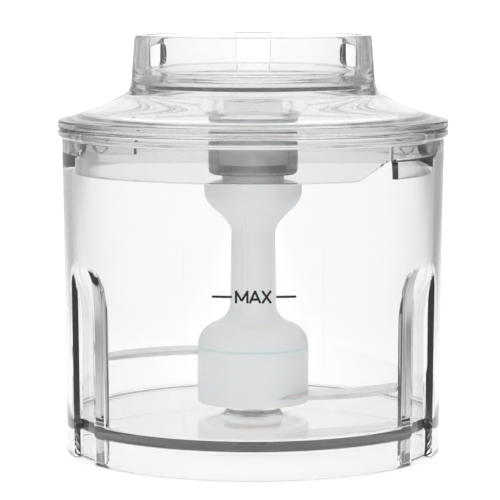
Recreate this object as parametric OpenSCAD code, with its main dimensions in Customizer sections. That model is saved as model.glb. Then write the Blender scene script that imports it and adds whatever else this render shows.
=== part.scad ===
// Chopper bowl of a food processor: clear bowl, clear lid with a collar for the
// motor unit, and a two-level blade on a steel spindle.
// Millimetres. The origin is on the axis at the base, +Z is up and the front is -Y.
// Angles given as "bearing" are measured from the front, positive to the right.

/* [Bowl] */
// Outer radius of the bowl at its base
bowl_base_r = 53; // [51.8:0.1:53.4]
// Outer radius of the bowl just under its rim
bowl_top_r = 53.9; // [53.6:0.1:54.2]
// Thickness of the bowl's wall
wall = 2.5; // [2.2:0.1:2.6]
// Height of the bowl's rim
rim_z = 91; // [90.5:0.1:91]
// Height of the underside of the floor, which is the depth of the hollow foot
floor_z = 7.8; // [7:0.1:8.5]
// Thickness of the floor
floor_t = 2.6; // [2.4:0.1:2.8]
// Outer radius of the rim's lip and of the lid's flange
flange_r = 55; // [54.8:0.1:56]

/* [Grip flutes] */
// Bearing of each flute from the front
flute_bearing = 62.6; // [40:0.05:80]
// Width of a flute
flute_w = 13.2; // [10:0.1:13.6]
// Distance from the axis to a flute's flat bottom
flute_floor_r = 50.4; // [50.2:0.1:51]
// Height where a flute starts to run out
flute_run_z = 37.5; // [30:0.5:40]
// Height of the top of a flute's arch
flute_top_z = 54.5; // [52:0.5:58]
// Radius of a flute's run-out
flute_run_r = 45; // [40:1:60]

/* [Fill mark] */
// Height of the fill mark's centre
mark_z = 49.6; // [45:0.1:52]
// Height of a letter
letter_h = 3.3; // [3:0.1:4]
// Width of a stroke
stroke_w = 0.6; // [0.4:0.05:0.65]
// Thickness of the printed ink
ink_t = 0.12; // [0.1:0.01:0.2]

/* [Lid] */
// Radius where the lid's dome meets the collar
dome_foot_r = 35.95; // [35.5:0.05:36.5]
// Height where the dome meets the collar
dome_foot_z = 100.9; // [100.5:0.1:101.5]
// Outer radius of the lid's skirt
skirt_r = 50.4; // [50:0.1:50.6]
// Thickness of the skirt
skirt_t = 1.8; // [1.5:0.1:2]
// Height of the skirt's lower edge
skirt_z = 79; // [77:0.5:80]

/* [Bayonet] */
// Bearing of the two front lugs on the skirt; two more mirror them at the back
lug_bearing = 67.5; // [60:0.5:70]
// Width of a lug
lug_w = 10.4; // [8:0.2:10.4]
// Angle that the lid turns between free and locked
lock_turn = 16.5; // [16.2:0.1:17]

/* [Collar] */
// Bore radius of the collar that takes the motor unit
collar_bore_r = 31; // [30.5:0.05:31]
// Outer radius at the collar's top edge
collar_top_r = 33.4; // [33.2:0.05:33.6]
// Height of the collar's top edge
collar_top_z = 117.2; // [116:0.1:118]
// Height of the ledge inside the collar
ledge_z = 106.3; // [106:0.1:107]
// Bearing of each collar window
window_bearing = 112.5; // [108:0.5:118]
// Width of a collar window
window_w = 12.2; // [10:0.1:12.2]
// Height of a collar window
window_h = 8; // [7:0.1:8]

/* [Hub] */
// Outer radius of the sleeve around the hub tube
hub_r = 12.65; // [12.5:0.05:13]
// Height of the hub's lower end
hub_z = 78.1; // [78:0.1:78.5]
// Radius of the coupler that turns in the hub
coupler_r = 8; // [7.8:0.05:8.1]
// Radial running clearance of the turning parts
running_gap = 0.05; // [0.03:0.01:0.08]

/* [Blade] */
// Outer radius of the blade's head, under the hub
head_r = 13.8; // [13:0.1:14]
// Height of the head's top face
head_top_z = 76.2; // [76:0.1:76.2]
// Radius of the blade's shaft
shaft_r = 6.2; // [6:0.1:6.6]
// Outer radius of the bell that holds the blades
bell_r = 15.8; // [15.4:0.1:16.2]
// Height of the bell's lower edge
bell_z = 13.3; // [13.3:0.1:13.5]
// Thickness of a blade
blade_t = 1.2; // [1:0.1:1.2]
// Radius of a blade's outer edge
edge_r = 36.5; // [35:0.5:37]
// Radius of a blade's back
back_r = 45; // [44:0.5:46]
// Radius of the blades' sweep
sweep_r = 44.5; // [42:0.5:45]
// Radius of the steel spindle
spindle_r = 2.5; // [2:0.1:2.6]

/* [Hidden] */
$fn = 96;

clear = [0.90, 0.93, 0.95, 0.35];
smoke = [0.45, 0.47, 0.49, 0.80];
milky = [0.86, 0.88, 0.89];
steel = [0.70, 0.71, 0.73];
bronze = [0.72, 0.56, 0.34];
silicone = [0.80, 0.82, 0.83, 0.70];
ink = [0.08, 0.08, 0.08];
reach = 70;      // longer than any radius, for cutting wedges
part_gap = 0.05; // between pieces of one assembly that meet

lip_z = 88.5;
floor_top = floor_z + floor_t;
boss_r = 7.8;
boss_z = floor_top + 0.9;
floor_corner = 0.9;
spindle_top = 45;

function bowl_r(z) = bowl_base_r + (bowl_top_r - bowl_base_r) * z / lip_z;
function bend(a, b, c, n) = [for (i = [0:n]) let (t = i / n)
    (1 - t) * (1 - t) * a + 2 * t * (1 - t) * b + t * t * c];

// Turns +X to a bearing from the front
module at_bearing(b) {
    rotate([0, 0, b - 90]) children();
}

// A ring between two radii and two heights
module ring(r_in, r_out, z0, z1) {
    difference() {
        translate([0, 0, z0]) cylinder(r = r_out, h = z1 - z0);
        translate([0, 0, z0 - 1]) cylinder(r = r_in, h = z1 - z0 + 2);
    }
}

// A wedge about the axis from bearing b0 to b1, both less than half a turn apart
module wedge(b0, b1, z0, z1) {
    translate([0, 0, z0]) linear_extrude(z1 - z0) polygon([[0, 0],
        reach * [sin(b0), -cos(b0)],
        reach * [sin((b0 + b1) / 2), -cos((b0 + b1) / 2)],
        reach * [sin(b1), -cos(b1)]]);
}

// An outline with a round top, standing on z = 0 and pushed out along +X
module arch_prism(half_w, top) {
    rotate([90, 0, 90]) linear_extrude(reach) {
        translate([-half_w, 0]) square([2 * half_w, top - half_w]);
        translate([0, top - half_w]) circle(r = half_w);
    }
}

// Everything outside a flute's bottom, flat below and running out above
module runout(offset_in, half_w) {
    rotate([90, 0, 0]) translate([0, 0, -half_w - 1]) linear_extrude(2 * half_w + 2) {
        translate([flute_floor_r - offset_in, -1]) square([reach, flute_run_z + 1]);
        translate([flute_floor_r + flute_run_r, flute_run_z]) circle(r = flute_run_r + offset_in);
    }
}

// One flute's shape, grown by the wall for its inner face
module flute(grow) {
    intersection() {
        arch_prism(flute_w / 2 + grow, flute_top_z + grow);
        runout(grow, flute_w / 2 + grow);
    }
}

// ---------------------------------------------------------------- bowl

bowl_outline = concat(
    [[0, floor_z], [bowl_r(floor_z) - wall, floor_z], [bowl_r(0) - wall, 0.3],
     [bowl_r(0) - wall + 0.3, 0], [bowl_r(0) - 0.5, 0], [bowl_r(0), 0.5],
     [bowl_r(lip_z), lip_z]],
    bend([bowl_top_r + 0.1, lip_z + 0.1], [flange_r - 0.1, lip_z + 0.3], [flange_r, lip_z + 1.6], 4),
    [[flange_r, rim_z - 0.4], [flange_r - 0.4, rim_z], [bowl_top_r - wall + 0.4, rim_z],
     [bowl_top_r - wall, rim_z - 0.4]],
    bend([bowl_r(floor_top + floor_corner) - wall, floor_top + floor_corner],
         [bowl_r(floor_top) - wall, floor_top],
         [bowl_r(floor_top) - wall - floor_corner, floor_top], 3),
    [[boss_r, floor_top], [boss_r, boss_z], [0, boss_z]]);

lug_low = 84.6;
lug_high = 88.5;
lug_gap = 0.3;
lug_out_r = skirt_r + 1.8;
lug_bearings = [-180 + lug_bearing, -lug_bearing, lug_bearing, 180 - lug_bearing];

// The outline of a lug, half a disc standing on z = 0, pushed out along +X
module lug_prism(half_w, h) {
    rotate([90, 0, 90]) linear_extrude(reach) intersection() {
        union() {
            translate([0, half_w]) circle(r = half_w);
            translate([-half_w, half_w]) square([2 * half_w, 2 * half_w]);
        }
        translate([-half_w, 0]) square([2 * half_w, h]);
    }
}

// A groove in the bowl's wall, open at the rim, with a leg that a lug turns into
module lock_groove() {
    half_w = lug_w / 2 + 0.4;
    leg = lock_turn + asin(half_w / lug_out_r);
    intersection() {
        union() {
            translate([0, 0, lug_low - 0.4]) lug_prism(half_w, rim_z);
            rotate([0, 0, -leg]) rotate_extrude(angle = leg) translate([skirt_r, lug_low - 0.2])
                square([5, lug_high - lug_low + 0.2 + lug_gap]);
        }
        translate([0, 0, floor_top]) cylinder(r = lug_out_r + lug_gap, h = rim_z);
    }
}

module bowl_shell() {
    color(clear) difference() {
        union() {
            rotate_extrude() polygon(bowl_outline);
            // Inner faces of the flutes, so that the wall keeps its thickness
            intersection() {
                for (s = [-1, 1]) at_bearing(s * flute_bearing) flute(wall);
                cylinder(r = bowl_base_r - wall / 2, h = flute_top_z + wall);
            }
        }
        for (b = lug_bearings) at_bearing(b) lock_groove();
        for (s = [-1, 1]) translate([0, 0, -1]) at_bearing(s * flute_bearing)
            translate([0, 0, 1]) flute(0);
        for (s = [-1, 1]) at_bearing(s * flute_bearing) translate([flute_floor_r, -flute_w / 2, -1])
            cube([reach, flute_w, 2]);
        translate([0, 0, floor_z + 0.8]) cylinder(r = spindle_r + 0.02, h = reach);
    }
}

module bowl_spindle() {
    color(steel) translate([0, 0, floor_z + 0.85]) {
        cylinder(r = spindle_r, h = spindle_top - 1 - floor_z - 0.85);
        translate([0, 0, spindle_top - 1 - floor_z - 0.85])
            cylinder(r1 = spindle_r, r2 = spindle_r - 0.7, h = 1);
    }
}

// A straight stroke of the mark between two points
module stroke(a, b) {
    run = b - a;
    translate(a) rotate(atan2(run[1], run[0])) translate([0, -stroke_w / 2])
        square([norm(run), stroke_w]);
}

// The word that marks the highest fill, drawn with straight strokes
module mark_strokes() {
    h = letter_h;
    stroke([-4.5, 0], [-4.5, h]);
    stroke([-4.6, h], [-3, 0.6]);
    stroke([-3, 0.6], [-1.4, h]);
    stroke([-1.5, 0], [-1.5, h]);
    stroke([-0.9, 0], [0.55, h]);
    stroke([0.45, h], [1.9, 0]);
    stroke([-0.4, h * 0.3], [1.4, h * 0.3]);
    stroke([2.4, 0], [4.7, h]);
    stroke([2.4, h], [4.7, 0]);
    for (x = [-10.9, 6.1]) stroke([x, h / 2], [x + 5.3, h / 2]);
}

module fill_mark() {
    z0 = mark_z - letter_h / 2;
    z1 = z0 + letter_h + 1;
    color(ink) intersection() {
        translate([0, 0, z0]) rotate([90, 0, 0]) linear_extrude(reach) mark_strokes();
        rotate_extrude() polygon([[bowl_r(z0 - 1) + 0.01, z0 - 1], [bowl_r(z0 - 1) + ink_t, z0 - 1],
            [bowl_r(z1) + ink_t, z1], [bowl_r(z1) + 0.01, z1]]);
    }
}

// ---------------------------------------------------------------- lid

flange_z = rim_z + 0.3;
flange_t = 2.4;
groove_in_r = 50.6;
groove_out_r = 53.1;
groove_z = flange_z + 0.9;
land_z = flange_z + 1.9;
dome_t = 2;
ledge_in_r = 27.5;
ledge_t = 2.2;

lid_outline = concat(
    [[flange_r - 0.4, flange_z], [flange_r, flange_z + 0.4], [flange_r, flange_z + flange_t - 0.7]],
    bend([flange_r - 0.1, flange_z + flange_t - 0.4], [flange_r - 0.2, flange_z + flange_t],
         [flange_r - 0.8, flange_z + flange_t + 0.05], 3),
    bend([flange_r - 1.2, flange_z + flange_t + 0.15], [44.5, 96.2], [dome_foot_r, dome_foot_z], 9),
    bend([dome_foot_r - 0.25, dome_foot_z + 0.4], [34.5, 102.6], [34.25, 105], 4),
    [[collar_top_r, collar_top_z - 0.4], [collar_top_r - 0.4, collar_top_z],
     [collar_bore_r + 0.3, collar_top_z], [collar_bore_r, collar_top_z - 0.3],
     [collar_bore_r, ledge_z], [ledge_in_r + 0.3, ledge_z], [ledge_in_r, ledge_z - 0.3],
     [ledge_in_r, ledge_z - ledge_t], [collar_bore_r + 0.2, ledge_z - ledge_t],
     [32.2, 102.9]],
    bend([32.8, 101.3], [41.5, 95.6], [47.6, land_z + 0.6], 8),
    [[47.6, land_z], [groove_in_r, land_z], [groove_in_r, groove_z],
     [groove_out_r, groove_z], [groove_out_r, flange_z]]);

// A window outline with round corners, pushed out along +X
module window_prism() {
    r = 2.6;
    rotate([90, 0, 90]) linear_extrude(reach) {
        square([window_w - 2 * r, window_h], center = true);
        square([window_w, window_h - 2 * r], center = true);
        for (x = [-1, 1], y = [-1, 1])
            translate([x * (window_w / 2 - r), y * (window_h / 2 - r)]) circle(r = r);
    }
}

key_w = 10.3;
key_r = collar_bore_r + 1.5;

module lid_cover() {
    color(clear) difference() {
        rotate_extrude() polygon(lid_outline);
        for (s = [-1, 1]) at_bearing(s * window_bearing)
            translate([collar_bore_r - 0.7, 0, ledge_z + 0.1 + window_h / 2]) window_prism();
        // Key groove down the back of the bore, and the slot at its foot
        intersection() {
            at_bearing(180) translate([0, -key_w / 2, ledge_z - 5]) cube([reach, key_w, 50]);
            translate([0, 0, ledge_z]) cylinder(r = key_r, h = 50);
        }
        intersection() {
            at_bearing(180) translate([0, -key_w / 2, ledge_z - 5]) cube([reach, key_w, 10]);
            ring(29, key_r, ledge_z - 5, ledge_z + 1);
        }
    }
}

module lid_seal() {
    color(silicone) rotate_extrude() polygon([
        [groove_in_r + 0.3, rim_z + 0.02], [groove_out_r - 0.2, rim_z + 0.02],
        [groove_out_r - 0.2, groove_z - 0.3], [groove_out_r - 0.45, groove_z - part_gap],
        [groove_in_r + 0.55, groove_z - part_gap], [groove_in_r + 0.3, groove_z - 0.3]]);
}

notch_start = 33;
notch_end = 49.5;
notch_h = 5.3;
notch_mid = (notch_start + notch_end) / 2;
notch_w = 2 * skirt_r * sin((notch_end - notch_start) / 2);

module lid_skirt() {
    color(clear) difference() {
        union() {
            rotate_extrude() polygon([
                [skirt_r - skirt_t + 0.3, skirt_z], [skirt_r - 0.3, skirt_z], [skirt_r, skirt_z + 0.3],
                [skirt_r, land_z - part_gap], [47.9, land_z - part_gap], [47.9, land_z - 1],
                [skirt_r - skirt_t, land_z - 1.6], [skirt_r - skirt_t, skirt_z + 0.3]]);
            // Bayonet lugs
            intersection() {
                for (b = lug_bearings) at_bearing(b) translate([0, 0, lug_low])
                    lug_prism(lug_w / 2, lug_high - lug_low);
                ring(skirt_r - 0.5, lug_out_r, skirt_z, lug_high + 1);
            }
        }
        // Slanted notch in the lower edge, front right
        at_bearing(notch_mid) rotate([90, 0, 90]) linear_extrude(reach) polygon([
            [-notch_w / 2, skirt_z - 1], [notch_w / 2, skirt_z - 1],
            [notch_w / 2 - 0.4, skirt_z + notch_h], [notch_w / 2 - 3.6, skirt_z + notch_h],
            [-notch_w / 2, skirt_z]]);
    }
}

// ---------------------------------------------------------------- hub and coupler

sleeve_t = 1.4;
tube_r = hub_r - sleeve_t - part_gap;
hub_bore_r = tube_r - 1.35;
lip_bore_r = coupler_r + 0.2;
hub_lip_z = hub_z + 1.2;
stack_z = 81.3;
stack_top = 90.3;
funnel_top = ledge_z - ledge_t - part_gap;
tube_top = 91.4;      // where the tube widens into the funnel
funnel_foot_z = 93.6; // where the funnel's inside starts

hub_outline = concat(
    [[lip_bore_r, hub_z], [tube_r, hub_z], [tube_r, tube_top]],
    bend([hub_r, tube_top], [hub_r, tube_top + 1.4], [hub_r + 1.4, tube_top + 2.3], 4),
    [[27, funnel_top - 1.8], [30.6, funnel_top - 1.8], [30.6, funnel_top], [25.2, funnel_top],
     [hub_bore_r + 0.6, funnel_foot_z + 1.6]],
    [[hub_bore_r, funnel_foot_z], [hub_bore_r, hub_lip_z], [lip_bore_r, hub_lip_z]]);

module hub_housing() {
    color(clear) rotate_extrude() polygon(hub_outline);
}

module hub_sleeve() {
    color(smoke) rotate_extrude() polygon(concat(
        [[tube_r + part_gap, tube_top - part_gap], [tube_r + part_gap, hub_z + 0.1]],
        bend([hub_r - 1.2, hub_z + 0.1], [hub_r, hub_z + 0.1], [hub_r, hub_z + 1.8], 4),
        [[hub_r, tube_top - part_gap]]));
}

module coupler_bush() {
    color(milky) ring(coupler_r + running_gap, coupler_r + 1.8, stack_z, stack_top);
}

module coupler_seal() {
    color(ink) rotate_extrude() polygon([
        [coupler_r + running_gap, hub_lip_z + part_gap], [hub_bore_r - part_gap, hub_lip_z + part_gap],
        [hub_bore_r - part_gap, stack_z - part_gap], [coupler_r + 1.6, stack_z - part_gap],
        [coupler_r + 0.9, stack_z - 0.7], [coupler_r + running_gap, stack_z - 0.3]]);
}

washer_t = 0.6;
clip_z = stack_top + part_gap + washer_t + 0.05;
clip_t = 0.6;
clip_groove_r = coupler_r - 0.8;

module coupler_washer() {
    color(steel) ring(coupler_r + running_gap, hub_bore_r - 0.3, stack_top + part_gap,
        stack_top + part_gap + washer_t);
}

module coupler_circlip() {
    color(steel) difference() {
        ring(clip_groove_r + 0.02, coupler_r + 1.5, clip_z, clip_z + clip_t);
        wedge(-14, 14, clip_z - 1, clip_z + clip_t + 1);
    }
}

// A splined bar: a round core with equal ribs
module splines(core_r, rib_r, rib_w, z0, z1) {
    translate([0, 0, z0]) {
        cylinder(r = core_r, h = z1 - z0);
        intersection() {
            cylinder(r = rib_r, h = z1 - z0);
            for (k = [0:2]) rotate([0, 0, 60 * k]) translate([-reach / 2, -rib_w / 2, 0])
                cube([reach, rib_w, z1 - z0]);
        }
    }
}

coupler_z = head_top_z + 0.2;
coupler_top = 92.6;
coupler_flange_r = coupler_r + 0.75;
spigot_top = 84;
insert_r = 6;
insert_z = 85;
hex_af = 7;

module drive_coupler() {
    color(smoke) difference() {
        rotate_extrude() polygon([[0, coupler_z], [coupler_flange_r, coupler_z],
            [coupler_flange_r, hub_z - 0.15], [coupler_r, hub_z - 0.15], [coupler_r, clip_z - 0.02],
            [clip_groove_r, clip_z - 0.02], [clip_groove_r, clip_z + clip_t + 0.02],
            [coupler_r, clip_z + clip_t + 0.02], [coupler_r, coupler_top - 0.6],
            [coupler_r - 0.6, coupler_top], [0, coupler_top]]);
        splines(5.2, 6.3, 2.2, coupler_z - 1, spigot_top + 0.5);
        translate([0, 0, insert_z]) cylinder(r = insert_r + 0.02, h = reach);
    }
}

module drive_insert() {
    color(steel) difference() {
        ring(0.5, insert_r, insert_z + 0.02, coupler_top - 0.1);
        translate([0, 0, insert_z + 1.5]) cylinder(r = hex_af / 2 / cos(30), h = reach, $fn = 6);
    }
}

// ---------------------------------------------------------------- blade

washer_z = boss_z + 0.02;
washer_top = bell_z - 0.1;
core_r = 8;
bore_r = 4;
eye_r = 13.5;
lower_z = 15.5;
upper_z = 26.1;
bell_top = 29;
shoulder_z = 38.2;
head_z = 70.8;
taper_z = 62.2;

module thrust_washer() {
    color(milky) ring(spindle_r + running_gap, boss_r + 0.4, washer_z, washer_top);
}

shaft_outline = concat(
    [[0, lower_z - 1.9], [core_r, lower_z - 1.9], [core_r, upper_z + blade_t + part_gap],
     [eye_r, upper_z + blade_t + part_gap], [eye_r, bell_top + 0.02], [bell_r, bell_top + 0.02]],
    bend([bell_r - 0.15, bell_top + 1], [bell_r - 1, bell_top + 5.4], [bell_r - 5, bell_top + 6.6], 5),
    bend([bell_r - 7, bell_top + 7.6], [shaft_r + 0.3, shoulder_z], [shaft_r + 0.2, shoulder_z + 4], 4),
    bend([shaft_r - 0.2, taper_z - 1], [shaft_r, taper_z + 2], [head_r - 3.4, head_z - 3.2], 4),
    bend([head_r - 2.6, head_z - 2.6], [head_r - 0.1, head_z - 0.8], [head_r, head_z + 2.4], 4),
    [[head_r, head_top_z - 0.5], [head_r - 0.5, head_top_z], [0, head_top_z]]);

module blade_shaft() {
    color(milky) difference() {
        union() {
            rotate_extrude() polygon(shaft_outline);
            // Stiffening ribs down the shaft
            for (k = [0:3]) at_bearing(-22 + 90 * k) translate([0, -0.8, shoulder_z - 3])
                cube([shaft_r + 0.55, 1.6, head_z - shoulder_z - 1]);
        }
        translate([0, 0, bell_z - 1]) cylinder(r = bore_r, h = spindle_top + 2 - bell_z);
        translate([0, 0, spigot_pocket_z]) cylinder(r = spigot_flange_r + 0.02, h = reach);
    }
}

spigot_pocket_z = 72;
spigot_flange_r = 9.6;

module drive_spigot() {
    color(smoke) {
        translate([0, 0, spigot_pocket_z + 0.02])
            cylinder(r = spigot_flange_r, h = head_top_z - spigot_pocket_z - 0.02);
        splines(5, 6.1, 1.8, head_top_z - 1, spigot_top - 0.8);
        translate([0, 0, spigot_top - 0.8]) cylinder(r1 = 5, r2 = 4.2, h = 0.8);
    }
}

// One blade arm and its eye. The arm's edge and back are circles about different
// centres, and the edge is ground to a bevel; grow widens it to cut its slot.
edge_centre = [12, 22];
back_centre = [9, 42.5];
bevel_w = 2.2;

module blade_plate(z, grow) {
    translate([0, 0, z - grow]) difference() {
        union() {
            cylinder(r = eye_r - 0.1 + grow, h = blade_t + 2 * grow);
            intersection() {
                difference() {
                    translate(edge_centre) {
                        if (grow > 0) cylinder(r = edge_r + grow, h = blade_t + 2 * grow);
                        else cylinder(r1 = edge_r, r2 = edge_r - bevel_w, h = blade_t);
                    }
                    translate([back_centre[0], back_centre[1], -1])
                        cylinder(r = back_r - grow, h = blade_t + 3);
                }
                cylinder(r = sweep_r, h = blade_t + 1);
                translate([2 - grow, -reach, 0]) cube([reach, reach + 14, blade_t + 1]);
            }
        }
        translate([0, 0, -1]) cylinder(r = core_r + 0.03, h = blade_t + 3);
    }
}

module lower_blade() {
    color(steel) blade_plate(lower_z, 0);
}

module upper_blade() {
    color(steel) rotate([0, 0, 180]) blade_plate(upper_z, 0);
}

module blade_spacer() {
    color(milky) ring(core_r + 0.03, eye_r - 0.1, lower_z + blade_t + part_gap, upper_z - part_gap);
}

module blade_retainer() {
    color(steel) ring(core_r + 0.03, eye_r - 0.1, lower_z - 1.9, lower_z - part_gap);
}

module blade_bell() {
    color(milky) difference() {
        rotate_extrude() polygon([[eye_r + 0.05, bell_z], [bell_r - 0.4, bell_z],
            [bell_r, bell_z + 0.4], [bell_r, bell_top], [eye_r + 0.05, bell_top]]);
        blade_plate(lower_z, 0.1);
        rotate([0, 0, 180]) blade_plate(upper_z, 0.1);
    }
}

module shaft_bush() {
    color(bronze) {
        ring(spindle_r + running_gap, bore_r - 0.02, bell_z, spindle_top - 1);
        ring(spindle_r + running_gap, core_r - 0.5, bell_z, lower_z - 1.95);
    }
}

bowl_shell();
bowl_spindle();
fill_mark();
lid_seal();
lid_cover();
lid_skirt();
hub_housing();
hub_sleeve();
coupler_bush();
coupler_seal();
coupler_washer();
coupler_circlip();
drive_coupler();
drive_insert();
thrust_washer();
blade_shaft();
drive_spigot();
blade_bell();
upper_blade();
lower_blade();
blade_spacer();
blade_retainer();
shaft_bush();
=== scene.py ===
# %% [markdown]
# # A clear chopper bowl with its lid and blade
#
# This lesson builds the looks of a small food processor bowl around a finished CAD model.
# Nearly everything here is round and see-through, and that decides how it is made: clear
# plastic shows every facet and every wrong normal twice, once on its front and once on its
# back. So each clear piece is a closed surface worked out from a formula, with a true wall
# thickness, soft edges and rows of points placed where the shape bends.

# %% Load the frame
import math

import bmesh
import bpy
import numpy as np
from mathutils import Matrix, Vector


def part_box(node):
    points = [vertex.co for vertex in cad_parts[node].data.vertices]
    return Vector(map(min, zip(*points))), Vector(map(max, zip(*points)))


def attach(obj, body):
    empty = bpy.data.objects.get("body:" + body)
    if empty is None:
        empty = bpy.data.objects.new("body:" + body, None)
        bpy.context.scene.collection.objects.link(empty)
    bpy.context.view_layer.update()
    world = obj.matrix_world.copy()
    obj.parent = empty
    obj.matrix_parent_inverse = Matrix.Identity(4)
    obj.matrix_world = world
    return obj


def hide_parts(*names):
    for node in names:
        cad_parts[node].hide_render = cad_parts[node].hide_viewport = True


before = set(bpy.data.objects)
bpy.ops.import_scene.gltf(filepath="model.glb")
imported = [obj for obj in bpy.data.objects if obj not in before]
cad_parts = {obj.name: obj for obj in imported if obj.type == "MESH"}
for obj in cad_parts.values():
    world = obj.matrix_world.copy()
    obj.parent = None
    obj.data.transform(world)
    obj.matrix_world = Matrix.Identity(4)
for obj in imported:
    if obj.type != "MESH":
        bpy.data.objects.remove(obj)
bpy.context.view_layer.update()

# %% [markdown]
# ## Camera first
#
# The camera comes first because the clear walls are judged by what is seen through them. It is
# a long lens a little above the bowl, so the rims are thin ellipses and the sides stay upright.
# A short lens from nearer by would open the ellipses and lean the walls, and a bowl this small
# would look like a bucket.

# %% Camera
MM = 0.001
scene = bpy.context.scene
camera_data = bpy.data.cameras.new("camera")
camera_data.sensor_width = 36.0
camera_data.lens = 183.3
camera_data.shift_x = -0.0062
camera_distance, camera_height, camera_tilt = 0.7188, 0.134, 6.17
camera = bpy.data.objects.new("camera", camera_data)
camera.location = (0.0, -camera_distance, camera_height)
camera.rotation_euler = (math.radians(90 - camera_tilt), 0.0, 0.0)
scene.collection.objects.link(camera)
scene.camera = camera
print("camera at", tuple(camera.location), "lens", camera_data.lens)

# %% [markdown]
# ## Small node tools
#
# The sky and the floor both work out a brightness from a place or a direction. Two helpers make
# the math nodes for them, so that the cells below read like the sum they stand for.

# %% Node tools
def math_node(tree, operation, *values):
    """A math node, each value a number or another node's output. Gives its output."""
    made = tree.nodes.new("ShaderNodeMath")
    made.operation = operation
    for slot, value in enumerate(values):
        if isinstance(value, (int, float)):
            made.inputs[slot].default_value = value
        else:
            tree.links.new(value, made.inputs[slot])
    return made.outputs["Value"]


def fade_node(tree, value, low, high):
    """0 where value is below low, 1 above high, smooth between. Gives the map node."""
    made = tree.nodes.new("ShaderNodeMapRange")
    made.interpolation_type = "SMOOTHSTEP"
    made.inputs["From Min"].default_value = low
    made.inputs["From Max"].default_value = high
    tree.links.new(value, made.inputs["Value"])
    return made


print("node tools:", math_node.__name__, fade_node.__name__)

# %% [markdown]
# ## A studio for clear plastic
#
# Clear plastic has no shade of its own: its edges are drawn by what they bend the eye toward.
# So the light is a bright dome, and low down at both sides stand grey screens, the right one
# darker. A wall seen face on looks through to the bright back and stays nearly white. A wall
# seen edge on bends the ray aside, meets a screen and turns grey. Lamps would have to shine
# through the plastic, which is slow and noisy, while a dome is met by every ray that leaves
# the object.

# %% Sky
SKY_STRENGTH = 1.26
SCREEN_TOP = 0.45                  # top of the side screens, as the sine of their elevation
SCREEN_FADE = 0.15
SCREEN_EDGES = (0.30, 0.42, 1.8, 2.3)  # radians from straight behind: fades in, then out
LEFT_SCREEN, RIGHT_SCREEN = 0.45, 0.35  # brightness

world = bpy.data.worlds.new("studio")
scene.world = world
world.use_nodes = True
sky = world.node_tree
sky.nodes.clear()
sky_coords = sky.nodes.new("ShaderNodeTexCoord")
sky_axis = sky.nodes.new("ShaderNodeSeparateXYZ")
sky.links.new(sky_coords.outputs["Generated"], sky_axis.inputs["Vector"])
azimuth = math_node(sky, "ARCTAN2", sky_axis.outputs["X"], sky_axis.outputs["Y"])


def screen(side):
    """1 inside the screen on one side (-1 left, 1 right), fading to 0 at both its edges."""
    turn = math_node(sky, "MULTIPLY", azimuth, side)
    near = fade_node(sky, turn, *SCREEN_EDGES[:2]).outputs["Result"]
    far = fade_node(sky, turn, *SCREEN_EDGES[2:]).outputs["Result"]
    return math_node(sky, "MULTIPLY", near, math_node(sky, "SUBTRACT", 1.0, far))


above = fade_node(sky, sky_axis.outputs["Z"], SCREEN_TOP - SCREEN_FADE, SCREEN_TOP)
low = math_node(sky, "SUBTRACT", 1.0, above.outputs["Result"])
shade = math_node(sky, "ADD", math_node(sky, "MULTIPLY", screen(-1.0), 1 - LEFT_SCREEN),
                  math_node(sky, "MULTIPLY", screen(1.0), 1 - RIGHT_SCREEN))
brightness = math_node(sky, "SUBTRACT", 1.0, math_node(sky, "MULTIPLY", low, shade))
sky_light = sky.nodes.new("ShaderNodeBackground")
sky_out = sky.nodes.new("ShaderNodeOutputWorld")
sky.links.new(math_node(sky, "MULTIPLY", brightness, SKY_STRENGTH), sky_light.inputs["Strength"])
sky.links.new(sky_light.outputs["Background"], sky_out.inputs["Surface"])
print("sky nodes:", len(sky.nodes))

# %% [markdown]
# ## Light paths
#
# A ray crosses many skins here: wall, skirt, dome, tube and collar, and the same again at the
# back. Each skin takes two bounces, so the limits are high, since a path cut short comes out
# black. The glossy filter is off, so that sharp paths through clear plastic stay sharp.

# %% Light paths
scene.view_settings.view_transform = "Standard"
scene.cycles.max_bounces = 40
scene.cycles.transmission_bounces = 40
scene.cycles.glossy_bounces = 16
scene.cycles.diffuse_bounces = 6
scene.cycles.blur_glossy = 0.0
print("bounces:", scene.cycles.max_bounces)

# %% [markdown]
# ## Surfaces from arrays
#
# A round piece is one outline carried about the axis, so two small tools make nearly all of
# them: outline pieces (straight runs and bends) and a lathe. Points are worked out as whole
# arrays. The lathe takes an optional push, a function that moves points once they are round,
# and that is how flutes, lugs and ribs are pressed into a wall without cutting it.

# %% Outlines
def run(start, end, step):
    """Points on a straight line from start to end, about one step apart, end left out."""
    start, end = np.array(start, float), np.array(end, float)
    count = max(1, int(math.ceil(np.linalg.norm(end - start) / step)))
    t = np.arange(count)[:, None] / count
    return start + t * (end - start)


def bend(start, corner, end, count=6):
    """Points on the quadratic curve (1-t)^2 start + 2t(1-t) corner + t^2 end, end left out."""
    start, corner, end = (np.array(p, float) for p in (start, corner, end))
    t = np.arange(count)[:, None] / count
    return (1 - t) ** 2 * start + 2 * t * (1 - t) * corner + t ** 2 * end


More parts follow.
